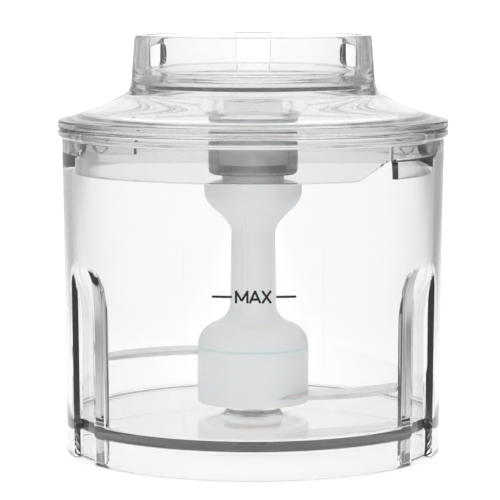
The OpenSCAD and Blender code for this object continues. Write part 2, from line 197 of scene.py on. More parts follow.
def soften(corners, step=3.0, closed=True, count=5):
    """Outline through (r, z, cut) corners. Each corner is bent over its cut length on both
    sides, with a guard point beside each bend so that the flat runs keep flat normals."""
    pts = np.array([c[:2] for c in corners], float)
    cuts = np.array([c[2] for c in corners], float)
    parts = []
    total = len(pts)
    for i in range(total):
        here, cut = pts[i], cuts[i]
        before, after = pts[i - 1], pts[(i + 1) % total]
        if cut == 0 or (not closed and i in (0, total - 1)):
            parts.append([here])
        else:
            back = (before - here) / np.linalg.norm(before - here)
            ahead = (after - here) / np.linalg.norm(after - here)
            guard = 0.35 * cut
            parts.append([here + back * (cut + guard)])
            parts.append(bend(here + back * cut, here, here + ahead * cut, count))
            parts.append([here + ahead * cut, here + ahead * (cut + guard)])
        last_cut = cuts[(i + 1) % total]
        if i < total - 1 or closed:
            start = parts[-1][-1]
            gap = after - here
            end = after - gap / np.linalg.norm(gap) * last_cut * 1.35
            if np.linalg.norm(end - start) > step:
                parts.append(run(start, end, step)[1:])
    return np.concatenate([np.asarray(p, float).reshape(-1, 2) for p in parts])


def smooth_step(x):
    """0 below 0, 1 above 1, and 3x^2 - 2x^3 between."""
    x = np.clip(x, 0.0, 1.0)
    return x * x * (3 - 2 * x)


print("outline tools ready")

# %% [markdown]
# ## From points to clean meshes
#
# Every piece comes from a grid of points and its quads. Doubled points at the poles are merged
# and the faces turned outward, because a ray needs to know whether it enters the plastic or
# leaves it. Smooth shading hides the grid, and only edges sharper than an angle stay hard.
# Holes that no grid can take, such as the windows, are carved with a Boolean and then kept as
# a plain mesh.

# %% Meshes
def grid_quads(rows, columns, wrap_rows, wrap_columns):
    """The quads of a grid of points numbered row by row."""
    i = np.arange(rows if wrap_rows else rows - 1)[:, None]
    j = np.arange(columns if wrap_columns else columns - 1)[None, :]
    next_i, next_j = (i + 1) % rows, (j + 1) % columns
    quads = np.stack(np.broadcast_arrays(
        i * columns + j, next_i * columns + j, next_i * columns + next_j, i * columns + next_j),
        axis=-1)
    return quads.reshape(-1, 4)


def new_piece(name, points_mm, faces, sharp=35.0):
    """A mesh object at the origin from points in millimetres. Doubles at poles are merged,
    faces are turned outward, and edges sharper than the angle keep a hard shade."""
    mesh = bpy.data.meshes.new(name)
    mesh.from_pydata((np.asarray(points_mm).reshape(-1, 3) * MM).tolist(), [], faces.tolist())
    tidy = bmesh.new()
    tidy.from_mesh(mesh)
    bmesh.ops.remove_doubles(tidy, verts=tidy.verts, dist=1e-7)
    bmesh.ops.dissolve_degenerate(tidy, edges=tidy.edges, dist=1e-8)
    bmesh.ops.recalc_face_normals(tidy, faces=tidy.faces)
    tidy.to_mesh(mesh)
    tidy.free()
    mesh.shade_smooth()
    mesh.set_sharp_from_angle(angle=math.radians(sharp))
    piece = bpy.data.objects.new(name, mesh)
    scene.collection.objects.link(piece)
    return piece


def around(radius, bearing, height):
    """Cylinder to room: bearing b degrees from the front gives x = r sin b, y = -r cos b."""
    b = np.radians(bearing)
    return np.stack(np.broadcast_arrays(radius * np.sin(b), -radius * np.cos(b), height), axis=-1)


def lathe(name, outline, bearings=None, push=None, sharp=35.0):
    """Closed surface of revolution: outline point (r, z) at bearing b goes to around(r, b, z).
    push(r, z, b) may move each point's radius. An outline from axis to axis closes at poles."""
    if bearings is None:
        bearings = np.arange(240) * 1.5
    b = bearings[:, None]
    r = np.broadcast_to(outline[:, 0], (len(bearings), len(outline)))
    z = np.broadcast_to(outline[:, 1], r.shape)
    if push is not None:
        r = push(r, z, b)
    on_axis = outline[0, 0] == 0
    quads = grid_quads(len(bearings), len(outline), True, not on_axis)
    piece = new_piece(name, around(r, b, z), quads, sharp)
    print(name, "faces:", len(piece.data.polygons))
    return piece


def block(name, shape, counts=(8, 2, 8)):
    """A closed block: the six faces of a unit cube as grids, each point moved by shape(a, b, c)."""
    points, faces, offset = [], [], 0
    for axis in range(3):
        u, v = [k for k in range(3) if k != axis]
        a, b = np.meshgrid(np.linspace(0, 1, counts[u] + 1), np.linspace(0, 1, counts[v] + 1),
                           indexing="ij")
        for side in (0.0, 1.0):
            cube = np.zeros(a.shape + (3,))
            cube[..., u], cube[..., v], cube[..., axis] = a, b, side
            points.append(shape(cube[..., 0], cube[..., 1], cube[..., 2]).reshape(-1, 3))
            faces.append(grid_quads(a.shape[0], a.shape[1], False, False) + offset)
            offset += a.size
    return new_piece(name, np.concatenate(points), np.concatenate(faces))


def carve(piece, cutters, operation="DIFFERENCE"):
    """Applies Boolean modifiers with the cutters, removes them, and keeps the shading flags."""
    for cutter in cutters:
        tool = piece.modifiers.new("carve", "BOOLEAN")
        tool.operation = operation
        tool.solver = "EXACT"
        tool.object = cutter
    bpy.context.view_layer.update()
    carved = bpy.data.meshes.new_from_object(
        piece.evaluated_get(bpy.context.evaluated_depsgraph_get()))
    piece.modifiers.clear()
    piece.data = carved
    carved.shade_smooth()
    carved.set_sharp_from_angle(angle=math.radians(35))
    for cutter in cutters:
        bpy.data.objects.remove(cutter)
    return piece


def place(piece, body, slot, material, *nodes):
    """Sets the finish, rides the piece on its body and lets it stand for CAD nodes."""
    piece.data.materials.clear()
    piece.data.materials.append(material)
    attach(piece, body)
    if nodes:
        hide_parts(*nodes)
    return piece


print("mesh tools ready")

# %% [markdown]
# ## Materials
#
# The clear plastic is a true transparent solid: white, fully transmitting, with the index of
# refraction of a styrene plastic and a little grey absorbed inside it. The absorption is what
# draws the object: a ray that grazes a wall stays in the plastic for a long way and comes out
# grey, so the sides and the floor's edge turn dark while the flat views stay nearly white.
# Fine wear is a shader group shared by all of them.

# %% A shared wear group
def add(tree, kind, **values):
    """A new node with its inputs set by name."""
    made = tree.nodes.new(kind)
    for key, value in values.items():
        made.inputs[key.replace("_", " ")].default_value = value
    return made


def make_wear_group():
    """Fine marks: a slow noise for handling haze and a thin stretched noise for hairlines.
    Puts out a roughness and a height, both varying over the surface."""
    group = bpy.data.node_groups.new("fine_wear", "ShaderNodeTree")
    face = group.interface
    for name, kind, value in (("Scale", "NodeSocketFloat", 60.0), ("Base", "NodeSocketFloat", 0.02),
                              ("Spread", "NodeSocketFloat", 0.03)):
        socket = face.new_socket(name, in_out="INPUT", socket_type=kind)
        socket.default_value = value
    face.new_socket("Roughness", in_out="OUTPUT", socket_type="NodeSocketFloat")
    face.new_socket("Height", in_out="OUTPUT", socket_type="NodeSocketFloat")
    given = group.nodes.new("NodeGroupInput")
    result = group.nodes.new("NodeGroupOutput")
    coords = group.nodes.new("ShaderNodeTexCoord")
    haze = add(group, "ShaderNodeTexNoise", Detail=3.0)
    stretch = group.nodes.new("ShaderNodeMapping")
    stretch.inputs["Scale"].default_value = (1.0, 1.0, 0.08)
    lines = add(group, "ShaderNodeTexNoise", Scale=900.0, Detail=2.0)
    spread = group.nodes.new("ShaderNodeMath")
    spread.operation = "MULTIPLY_ADD"
    link = group.links.new
    link(coords.outputs["Object"], haze.inputs["Vector"])
    link(given.outputs["Scale"], haze.inputs["Scale"])
    link(coords.outputs["Object"], stretch.inputs["Vector"])
    link(stretch.outputs["Vector"], lines.inputs["Vector"])
    link(haze.outputs["Fac"], spread.inputs[0])
    link(given.outputs["Spread"], spread.inputs[1])
    link(given.outputs["Base"], spread.inputs[2])
    link(spread.outputs["Value"], result.inputs["Roughness"])
    link(lines.outputs["Fac"], result.inputs["Height"])
    return group


wear_group = make_wear_group()
print("shader group:", wear_group.name)


# %% [markdown]
# ## The finishes
#
# The clear plastics differ mainly in how much they absorb. The skirt absorbs more than the
# bowl and the dome, so that it reads as a grey band, and the sleeve is smoked. In the milky
# mouldings light goes in a few millimetres and comes out again, which a little subsurface
# gives. Every finish takes its fine marks from the wear group.

# %% Material makers
def new_material(name, color, roughness, spread, scale=60.0, bump=0.0, **settings):
    """A Principled material whose roughness and bump come from the wear group."""
    material = bpy.data.materials.new(name)
    material.use_nodes = True
    tree = material.node_tree
    shader = tree.nodes["Principled BSDF"]
    shader.inputs["Base Color"].default_value = (*color, 1.0)
    for key, value in settings.items():
        shader.inputs[key.replace("_", " ")].default_value = value
    wear = tree.nodes.new("ShaderNodeGroup")
    wear.node_tree = wear_group
    wear.inputs["Scale"].default_value = scale
    wear.inputs["Base"].default_value = roughness
    wear.inputs["Spread"].default_value = spread
    tree.links.new(wear.outputs["Roughness"], shader.inputs["Roughness"])
    if bump > 0:
        height = tree.nodes.new("ShaderNodeBump")
        height.inputs["Strength"].default_value = bump
        height.inputs["Distance"].default_value = 0.0002
        tree.links.new(wear.outputs["Height"], height.inputs["Height"])
        tree.links.new(height.outputs["Normal"], shader.inputs["Normal"])
    return material


def add_absorption(material, color, density):
    """Plain absorption inside the solid, in parts of light per metre."""
    tree = material.node_tree
    inside = tree.nodes.new("ShaderNodeVolumeAbsorption")
    inside.inputs["Color"].default_value = (*color, 1.0)
    inside.inputs["Density"].default_value = density
    tree.links.new(inside.outputs["Volume"], tree.nodes["Material Output"].inputs["Volume"])
    return material


def clear_plastic(name, roughness, spread, density):
    """A fully transmitting plastic that absorbs a neutral grey inside."""
    made = new_material(name, (1, 1, 1), roughness, spread, IOR=1.5, Transmission_Weight=1.0)
    return add_absorption(made, (0.0, 0.0, 0.0), density)


clear_bowl = clear_plastic("clear_bowl", 0.0, 0.006, 20.0)
clear_lid = clear_plastic("clear_lid", 0.0, 0.01, 20.0)
clear_skirt = clear_plastic("clear_skirt", 0.0, 0.01, 60.0)
clear_hub = clear_plastic("clear_hub", 0.01, 0.02, 25.0)
smoke_plastic = clear_plastic("smoke_plastic", 0.03, 0.03, 200.0)
coupler_plastic = new_material("coupler_plastic", (0.80, 0.80, 0.81), 0.25, 0.15, bump=0.05)
milky_plastic = new_material(
    "milky_plastic", (0.82, 0.83, 0.84), 0.28, 0.12, bump=0.03, Subsurface_Weight=0.35,
    Subsurface_Scale=0.004, IOR=1.5)
blade_steel = new_material("blade_steel", (0.72, 0.72, 0.73), 0.2, 0.12, bump=0.1, Metallic=1.0)
turned_steel = new_material("turned_steel", (0.58, 0.58, 0.59), 0.22, 0.1, bump=0.1, Metallic=1.0)
bearing_bronze = new_material("bearing_bronze", (0.60, 0.42, 0.22), 0.35, 0.15, bump=0.2, Metallic=1.0)
seal_silicone = new_material(
    "seal_silicone", (0.97, 0.97, 0.97), 0.12, 0.1, Transmission_Weight=0.95, IOR=1.41)
seal_rubber = new_material("seal_rubber", (0.22, 0.22, 0.23), 0.5, 0.15, bump=0.1)
printed_ink = new_material("printed_ink", (0.003, 0.003, 0.003), 0.6, 0.15, bump=0.05)
print("materials:", len(bpy.data.materials))

# %% [markdown]
# ## The bowl
#
# The bowl is one injection moulding: a drafted wall, a flat floor set up above a hollow foot,
# a lip at the rim, two grip flutes and four lock grooves inside the rim. First come the sizes
# that several shapes share: the draft of the wall, the flutes, and the lugs and grooves of the
# quarter-turn lock.

# %% Bowl sizes
wall = 2.5
floor_low, floor_high = 7.8, 10.4
floor_corner = 0.9
boss_r, boss_high = 7.8, 11.3
spindle_foot = 9.4
rim_high = 91.0
lip_low = 88.5
flange_r = 1000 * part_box("lid_cover")[1][0]
flute_bearing, flute_half, flute_floor = 62.6, 6.6, 50.4
flute_run_z, flute_top, flute_run_r = 37.5, 54.5, 45.0
lug_bearings = (-112.5, -67.5, 67.5, 112.5)
lug_half, lug_low, lug_high, lug_r, lock_turn = 5.2, 84.6, 88.5, 52.2, 16.5


def wall_r(z):
    """Outer radius of the drafted wall at height z."""
    return 53.0 + 0.9 * z / lip_low


def bearings_with(spans, coarse=1.6):
    """Bearings all round in coarse steps, with finer steps over each (low, high, step) span."""
    fine = [np.arange(low, high, step) for low, high, step in spans]
    every = np.arange(-180, 180, coarse)
    far = every[np.all([(every < low - 0.2) | (every > high + 0.2) for low, high, _ in spans], axis=0)]
    together = np.sort(np.concatenate([far] + fine))
    return together[np.concatenate([[True], np.diff(together) > 0.15])]


print("bowl flange radius:", round(flange_r, 3), "mm")

# %% [markdown]
# ## Pressing flutes and grooves into the wall
#
# The flutes and grooves are pressed in by the lathe's push, so the wall stays one closed skin
# with no cut edges. Both faces of the wall move together at a flute, with the wall's thickness
# between them, which is what a mould does. The grooves are pressed into the inner face only.
# Bearings and outline rows stand close together where a step has to look crisp, and far apart
# on the plain wall.

# %% Bowl shape
def press_flutes(r, z, bearing, inner):
    """Two flutes: inside an arch outline the wall steps in to a flat plane at flute_floor,
    which above flute_run_z follows a circle out to the wall. inner is 1 on the wall's inner
    face, where the outline and the plane are grown by the wall's thickness."""
    grow = wall * inner
    half = flute_half + grow
    soft = 0.8 + 0.6 * inner
    face_r = wall_r(z) - grow
    rise = np.maximum(z - flute_run_z, 0.0)
    plane = flute_floor + flute_run_r - np.sqrt(np.maximum((flute_run_r + grow) ** 2 - rise ** 2, 0))
    share = np.clip((r - 38.0) / (face_r - 38.0), 0.0, 1.0)
    for centre in (-flute_bearing, flute_bearing):
        turn = np.radians(np.clip(bearing - centre, -60, 60))
        across = face_r * np.sin(turn)
        above = np.maximum(z - (flute_top + grow - half), 0.0)
        edge = half - np.hypot(across, above)
        depth = np.maximum(face_r - plane / np.cos(turn), 0.0)
        r = r - smooth_step(edge / soft + 0.5) * depth * share
    return r


def half_disc(across, above, half):
    """Distance inside an upright U, a half disc of radius half standing at height 0 with
    straight sides above it. Positive inside."""
    below = np.minimum(above - half, 0.0)
    return half - np.hypot(across, below)


def press_grooves(r, z, bearing, inner):
    """Four lock grooves in the wall's inner face: a U open at the rim, and a leg at its foot
    that runs lock_turn degrees towards smaller bearings."""
    half = lug_half + 0.4
    foot = lug_low - 0.4
    roof = lug_high + 0.3
    leg = lock_turn + math.degrees(math.asin(half / lug_r))
    inside = -np.ones_like(r)
    for centre in lug_bearings:
        turn = (bearing - centre + 180) % 360 - 180
        upright = half_disc(lug_r * np.radians(turn), z - foot, half)
        side = np.minimum(-turn, turn + leg) * math.radians(lug_r)
        level = np.minimum(z - foot, roof - z)
        inside = np.maximum(inside, np.maximum(upright, np.minimum(side, level)))
    depth = np.maximum(lug_r + 0.3 - r, 0.0)
    return r + smooth_step(inside / 0.5 + 0.5) * inner * depth * (r > 48.0)


bowl_under = np.concatenate([
    run((0, floor_low), (wall_r(floor_low) - wall - 0.9, floor_low), 4.0),
    bend((wall_r(floor_low) - wall - 0.7, floor_low), (wall_r(7.5) - wall, floor_low),
         (wall_r(7.5) - wall, floor_low - 0.7)),
    run((wall_r(7) - wall, floor_low - 0.8), (wall_r(0) - wall, 0.5), 2.0)])
bowl_foot = np.concatenate([
    bend((wall_r(0) - wall, 0.4), (wall_r(0) - wall, 0), (wall_r(0) - wall + 0.4, 0)),
    run((wall_r(0) - wall + 0.5, 0), (wall_r(0) - 0.6, 0), 0.5),
    bend((wall_r(0) - 0.5, 0), (wall_r(0), 0), (wall_r(0.5), 0.5))])
bowl_outer = np.concatenate([
    run((wall_r(0.6), 0.6), (wall_r(34), 34), 3.0),
    run((wall_r(34), 34), (wall_r(57), 57), 0.9),
    run((wall_r(57), 57), (wall_r(lip_low - 0.8), lip_low - 0.8), 4.0),
    bend((wall_r(88), lip_low - 0.4), (wall_r(88) + 0.1, lip_low + 0.2), (54.4, lip_low + 0.5)),
    bend((54.4, lip_low + 0.5), (flange_r, lip_low + 0.8), (flange_r, lip_low + 1.5)),
    [[flange_r, rim_high - 0.6]],
    bend((flange_r, rim_high - 0.45), (flange_r, rim_high), (flange_r - 0.45, rim_high)),
    run((flange_r - 0.6, rim_high), (wall_r(91) - wall + 0.6, rim_high), 1.0)])
bowl_inner = np.concatenate([
    bend((wall_r(91) - wall + 0.45, rim_high), (wall_r(91) - wall, rim_high),
         (wall_r(91) - wall, rim_high - 0.45), 4),
    run((wall_r(90.5) - wall, 90.5), (wall_r(83.8) - wall, 83.8), 0.28),
    run((wall_r(83.8) - wall, 83.8), (wall_r(60) - wall, 60), 4.0),
    run((wall_r(60) - wall, 60), (wall_r(34) - wall, 34), 0.9),
    run((wall_r(34) - wall, 34), (wall_r(11.5) - wall, 11.5), 3.0),
    bend((wall_r(floor_high + floor_corner) - wall, floor_high + floor_corner),
         (wall_r(floor_high) - wall, floor_high),
         (wall_r(floor_high) - wall - floor_corner, floor_high), 6),
    run((wall_r(floor_high) - wall - floor_corner - 0.2, floor_high),
        (boss_r + 0.6, floor_high), 4.0),
    bend((boss_r + 0.5, floor_high), (boss_r, floor_high), (boss_r, floor_high + 0.4), 4),
    bend((boss_r, boss_high - 0.2), (boss_r, boss_high), (boss_r - 0.3, boss_high), 4),
    run((boss_r - 0.4, boss_high), (0, boss_high), 2.5), [[0, boss_high]]])
bowl_outline = np.concatenate([bowl_under, bowl_foot, bowl_outer, bowl_inner])
inner_share = np.concatenate([
    np.ones(len(bowl_under)), np.linspace(1, 0, len(bowl_foot)),
    np.zeros(len(bowl_outer)), np.ones(len(bowl_inner))])
flute_spans = [(c - 11, c + 11, 0.35) for c in (-flute_bearing, flute_bearing)]
rear_groove_spans = [(c - 7.5, c + 7.5, 0.4) for c in (lug_bearings[0], lug_bearings[-1])]
leg_end_spans = [(c - 24, c - 21.5, 0.4) for c in lug_bearings]
bowl_bearings = bearings_with(flute_spans + rear_groove_spans + leg_end_spans)


def press_bowl(r, z, bearing):
    """Flutes first, then grooves."""
    inner = np.broadcast_to(inner_share, r.shape)
    return press_grooves(press_flutes(r, z, bearing, inner), z, bearing, inner)


bowl = lathe("bowl", bowl_outline, bowl_bearings, press_bowl)
place(bowl, "bowl", "clear_bowl", clear_bowl, "bowl_shell")

# %% [markdown]
# ## The spindle
#
# A turned steel pin stands in the floor's boss, and the blade turns on it. Its top is rounded
# so that the blade finds it. It is a lathe piece with five corners.

# %% Spindle in the bowl
spindle = lathe("spindle", soften([
    (0, spindle_foot, 0), (2.5, spindle_foot, 0.2), (2.5, 44.2, 0.4), (1.9, 44.9, 0.3), (0, 45, 0)],
    closed=False), np.arange(96) * 3.75)
place(spindle, "bowl", "steel", turned_steel, "bowl_spindle")

# %% [markdown]
# ## The lid
#
# The lid's cover is one moulding too: a flange over the bowl's rim, a dome that sweeps up like
# a bell, and a collar with a ledge inside for the motor unit. The collar's two windows have
# thick rolled edges. A hole with a rolled edge is hard to press into a lathe grid, so the
# windows are carved: the cutter is itself a formula, a tunnel with a rounded-square section
# that flares at its outer mouth.

# %% Lid cover
lid_outline = np.concatenate([
    soften([(54.6, 91.3, 0), (55.0, 91.7, 0), (55.0, 93.0, 0)], closed=False),
    bend((flange_r, 93.0), (flange_r, 93.75), (54.1, 93.85), 6),
    bend((53.9, 93.88), (44.5, 96.2), (36.2, 100.75), 26),
    bend((36.1, 100.8), (34.5, 102.0), (34.25, 105), 12),
    run((34.23, 105.3), (33.42, 116.6), 1.5),
    bend((33.4, 116.7), (33.4, 117.2), (32.9, 117.2), 5),
    run((32.7, 117.2), (31.6, 117.2), 0.6),
    bend((31.4, 117.2), (31.0, 117.2), (31.0, 116.8), 5),
    run((31.0, 116.6), (31.0, 106.7), 1.5),
    bend((31.0, 106.5), (31.0, 106.3), (30.8, 106.3), 4),
    run((30.6, 106.3), (28.0, 106.3), 1.0),
    bend((27.9, 106.3), (27.5, 106.3), (27.5, 105.9), 4),
    run((27.5, 105.8), (27.5, 104.6), 0.6),
    bend((27.5, 104.4), (27.5, 104.1), (27.8, 104.1), 4),
    run((28.0, 104.1), (31.0, 104.1), 1.0),
    bend((31.2, 104.1), (32.2, 104.0), (32.4, 102.9), 6),
    bend((32.6, 102.2), (34.6, 98.6), (47.0, 94.2), 22),
    bend((47.2, 94.1), (47.6, 93.9), (47.6, 93.2), 4),
    run((47.6, 93.2), (50.6, 93.2), 1.0),
    run((50.6, 93.2), (50.6, 92.2), 0.5),
    run((50.6, 92.2), (53.1, 92.2), 0.8),
    run((53.1, 92.2), (53.1, 91.3), 0.5),
    run((53.1, 91.3), (54.6, 91.3), 0.6)])
lid = lathe("lid", lid_outline, np.arange(360) * 1.0)


def window_tunnel(centre):
    """A tunnel along a bearing. Its section is |t/a|^5 + |s/h|^5 = 1, and it opens outwards
    with f^1.5, where f runs from 0 at the bore to 1 at the collar's outside."""
    out = np.concatenate([[26.0], np.linspace(30.6, 33.8, 13), [38.0]])
    flare = np.clip((out - 31.0) / 2.4, 0, 1) ** 1.5
    half_w = 5.7 + 0.9 * flare
    low = 106.5 - 1.2 * flare
    high = 112.6 + 2.3 * flare
    phi = np.linspace(0, 2 * np.pi, 72, endpoint=False)[None, :]
    power = 2 / 5
    across = half_w[:, None] * np.sign(np.cos(phi)) * np.abs(np.cos(phi)) ** power
    up = (high - low)[:, None] / 2 * np.sign(np.sin(phi)) * np.abs(np.sin(phi)) ** power
    tall = ((high + low) / 2)[:, None] + up
    b = math.radians(centre)
    x = out[:, None] * math.sin(b) + across * math.cos(b)
    y = -out[:, None] * math.cos(b) + across * math.sin(b)
    points = np.stack([x, y, tall], axis=-1)
    ends = points[[0, -1]].mean(axis=1)
    points = np.concatenate([np.broadcast_to(ends[:1, None], (1, 72, 3)), points,
                             np.broadcast_to(ends[1:, None], (1, 72, 3))])
    return new_piece("tunnel", points, grid_quads(len(points), 72, False, True))


def arc_block(name, r0, r1, b0, b1, z0, z1, counts=(2, 8, 2)):
    """A block between two radii, two bearings and two heights."""
    return block(name, lambda a, b, c: around(r0 + a * (r1 - r0), b0 + b * (b1 - b0),
                                              z0 + c * (z1 - z0)), counts)


window_bearing = 112.5
key_width, bore_r = 10.3, 31.0
key_half = math.degrees(key_width / 2 / bore_r)
carve(lid, [window_tunnel(-window_bearing), window_tunnel(window_bearing),
            arc_block("key", 29.0, bore_r + 1.5, 180 - key_half, 180 + key_half, 103.0, 118.5)])
place(lid, "lid", "clear_lid", clear_lid, "lid_cover")
print("lid after carving:", len(lid.data.polygons))

# %% [markdown]
# ## The skirt
#
# The skirt is a ring that hangs from the lid into the bowl. Its four lugs sit in the bowl's
# grooves and lock the lid when it is turned. They are pressed outward on the outer face only,
# with the rows close together over the lugs' height. The slanted notch in its lower edge goes
# right through, so it is carved.

# %% Lid skirt with its lugs and notch
def press_lugs(r, z, bearing):
    """Four lugs on the skirt's outer face, each a half disc cut off at lug_high."""
    inside = -np.ones_like(r)
    for centre in lug_bearings:
        turn = (bearing - centre + 180) % 360 - 180
        upright = half_disc(lug_r * np.radians(turn), z - lug_low, lug_half)
        inside = np.maximum(inside, np.minimum(upright, lug_high - z))
    return r + smooth_step(inside / 0.5 + 0.5) * np.maximum(lug_r - r, 0) * (r > 49.8)


skirt = lathe("skirt", np.concatenate([
    bend((50.0, 79.0), (50.4, 79.0), (50.4, 79.4), 4),
    run((50.4, 79.6), (50.4, 84.0), 1.5),
    run((50.4, 84.0), (50.4, 89.0), 0.25),
    run((50.4, 89.0), (50.4, 93.0), 1.3),
    soften([(50.4, 93.1, 0), (47.9, 93.1, 0.3), (47.9, 92.2, 0.2), (48.6, 91.6, 0.3),
            (48.6, 79.0, 0.35), (49.8, 79.0, 0)], step=1.5, closed=False)]),
    bearings_with([(c - 7, c + 7, 0.4) for c in lug_bearings], 1.5), press_lugs)
notch_start, notch_end, skirt_low, notch_high = 33.0, 49.5, 79.0, 84.3


def notch_shape(a, b, c):
    """The notch: b runs along it, and its top rises from the skirt's edge over three quarters
    of its length."""
    rise = np.clip(b / 0.75, 0, 1)
    foot = skirt_low - 3.0
    top = skirt_low + (notch_high - skirt_low) * rise
    return around(46 + 7 * a, notch_start + b * (notch_end - notch_start), foot + c * (top - foot))


carve(skirt, [block("notch", notch_shape, (2, 16, 2))])
place(skirt, "lid", "clear_lid", clear_skirt, "lid_skirt")
print("skirt after carving:", len(skirt.data.polygons))

# %% [markdown]
# ## The rim seal
#
# A soft ring lies in the groove under the lid's flange and meets the bowl's rim. It is a clear
# silicone, a touch rougher than the plastic, so it shows only as a fine line.

# %% Seal under the flange
seal = lathe("rim_seal", soften([
    (50.9, 91.02, 0.25), (52.9, 91.02, 0.25), (52.9, 92.15, 0.3), (50.9, 92.15, 0.3)]),
    np.arange(240) * 1.5)
place(seal, "seal", "silicone", seal_silicone, "lid_seal")

# %% [markdown]
# ## Hub and coupler
#
# Under the collar a clear funnel leads down to a tube, and a smoked sleeve fits around the
# tube. The sleeve is see-through too: at its middle the light crosses little more than a
# millimetre of it, at its edges much more, and that alone makes the edges darker. The pale
# coupler inside shows through both.

# %% Hub
hub = lathe("hub", np.concatenate([
    soften([(8.2, 79.3, 0.15), (8.2, 78.1, 0.15), (11.2, 78.1, 0.2), (11.2, 91.4, 0.1),
            (12.65, 91.4, 0)], closed=False, step=1.5)[1:],
    bend((12.65, 91.45), (12.65, 92.8), (14.0, 93.7), 8),
    run((14.2, 93.83), (26.8, 102.15), 1.5),
    bend((26.9, 102.2), (27.1, 102.3), (27.4, 102.3), 4),
    run((27.6, 102.3), (30.3, 102.3), 1.0),
    bend((30.4, 102.3), (30.6, 102.3), (30.6, 102.5), 4),
    run((30.6, 102.7), (30.6, 103.7), 0.5),
    bend((30.6, 103.8), (30.6, 104.05), (30.35, 104.05), 4),
    run((30.2, 104.05), (25.8, 104.05), 1.0),
    bend((25.6, 104.05), (25.2, 104.05), (24.8, 103.8), 4),
    run((24.6, 103.66), (11.2, 94.85), 1.5),
    bend((11.0, 94.7), (9.85, 93.9), (9.85, 93.2), 6),
    run((9.85, 93.0), (9.85, 79.8), 1.5),
    bend((9.85, 79.6), (9.85, 79.3), (9.6, 79.3), 4),
    run((9.5, 79.3), (8.5, 79.3), 0.6)]), np.arange(180) * 2.0)
place(hub, "lid", "clear_hub", clear_hub, "hub_housing")
sleeve = lathe("sleeve", np.concatenate([
    run((11.25, 91.35), (11.25, 78.3), 1.5),
    bend((11.25, 78.25), (11.25, 78.2), (11.3, 78.2), 2),
    run((11.35, 78.2), (11.5, 78.2), 0.3),
    bend((11.6, 78.2), (12.65, 78.2), (12.65, 79.9), 8),
    run((12.65, 80.0), (12.65, 91.2), 1.5),
    bend((12.65, 91.25), (12.65, 91.35), (12.55, 91.35), 3),
    run((12.45, 91.35), (11.3, 91.35), 0.6)]), np.arange(180) * 2.0)
place(sleeve, "lid", "smoke_plastic", smoke_plastic, "hub_sleeve")


# %% [markdown]
# ## The coupler
#
# The coupler carries the turn from the motor to the blade. Its top takes the steel insert, and
# its socket has six slots that the blade's spigot slides into. The slots are a push on the
# socket's wall: a cosine of three times the bearing, sharpened by a smooth step.

# %% Coupler
def press_splines(r, z, bearing):
    """Six straight slots inside the socket: the cosine of three times the bearing, without its
    sign, sharpened by a smooth step."""
    slot = smooth_step((np.abs(np.cos(np.radians(3 * bearing))) - 0.80) / 0.10)
    inside = (r < 5.6) & (r > 1.0) & (z < 84.7)
    return np.where(inside, r + 1.1 * slot, r)


coupler = lathe("coupler", np.concatenate([
    [[0.0, 84.5], [3.0, 84.5], [5.15, 84.5]],
    run((5.2, 84.4), (5.2, 76.9), 1.5),
    bend((5.2, 76.8), (5.2, 76.4), (5.6, 76.4), 4),
    soften([(5.8, 76.4, 0), (8.75, 76.4, 0.4), (8.75, 77.95, 0.3), (8.0, 77.95, 0.15),
            (8.0, 90.98, 0.1), (7.2, 90.98, 0.05), (7.2, 91.62, 0.05), (8.0, 91.62, 0.1),
            (8.0, 92.6, 0.4), (6.02, 92.6, 0.2), (6.02, 85.0, 0.1), (0, 85.0, 0)],
           closed=False)]), np.arange(240) * 1.5, press_splines)
place(coupler, "coupler", "smoke_plastic", coupler_plastic, "drive_coupler")

# %% [markdown]
# ## The blade
#
# The head, shaft and shoulder are one milky moulding, and the bell under it is moulded round
# the roots of the two blades. Four thin ribs run down the shaft.

# %% Shaft and bell
rib_bearing, rib_half, rib_high = -22.0, 0.9, 0.55


def press_ribs(r, z, bearing):
    """Four ribs: a cosine bump of rib_half on each side, fading out at both ends."""
    turn = np.radians((bearing - rib_bearing + 45) % 90 - 45)
    across = r * np.sin(turn)
    bump = np.cos(np.clip(np.abs(across) / rib_half, 0, 1) * np.pi / 2) ** 0.7
    ends = smooth_step((z - 31.0) / 8.0) * smooth_step((72.0 - z) / 6.0)
    outside = (r > 5.0) & (z > 30) & (z < 70)
    return np.where(outside, r + rib_high * bump * ends, r)


shaft = lathe("blade_shaft_skin", np.concatenate([
    soften([(0, 46.5, 0), (4.0, 46.5, 0.2), (4.0, 13.6, 0.3), (8.0, 13.6, 0.3),
            (8.0, 27.35, 0.2), (13.5, 27.35, 0.2), (13.5, 29.02, 0.1), (15.5, 29.02, 0)],
           closed=False, step=2.0),
    bend((15.6, 29.02), (15.8, 29.02), (15.8, 29.3), 3),
    bend((15.78, 29.6), (15.3, 34.2), (10.9, 35.7), 12),
    bend((10.7, 35.76), (6.8, 37.2), (6.42, 41.0), 12),
    run((6.4, 41.5), (6.05, 61.0), 1.5),
    bend((6.05, 61.2), (6.1, 63.9), (10.0, 67.4), 12),
    bend((10.1, 67.5), (13.7, 69.9), (13.8, 73.2), 12),
    run((13.8, 73.5), (13.8, 75.6), 0.8),
    bend((13.8, 75.7), (13.8, 76.2), (13.3, 76.2), 5),
    run((13.1, 76.2), (9.8, 76.2), 1.0),
    [[9.62, 76.2], [9.62, 76.0]],
    run((9.62, 75.8), (9.62, 72.0), 1.0),
    [[9.6, 72.0], [5.0, 72.0], [0.0, 72.0]]]),
    bearings_with([(c - 9, c + 9, 0.75) for c in (-112, -22, 68, 158)], 3.0), press_ribs)
place(shaft, "blade", "milky_plastic", milky_plastic, "blade_shaft")

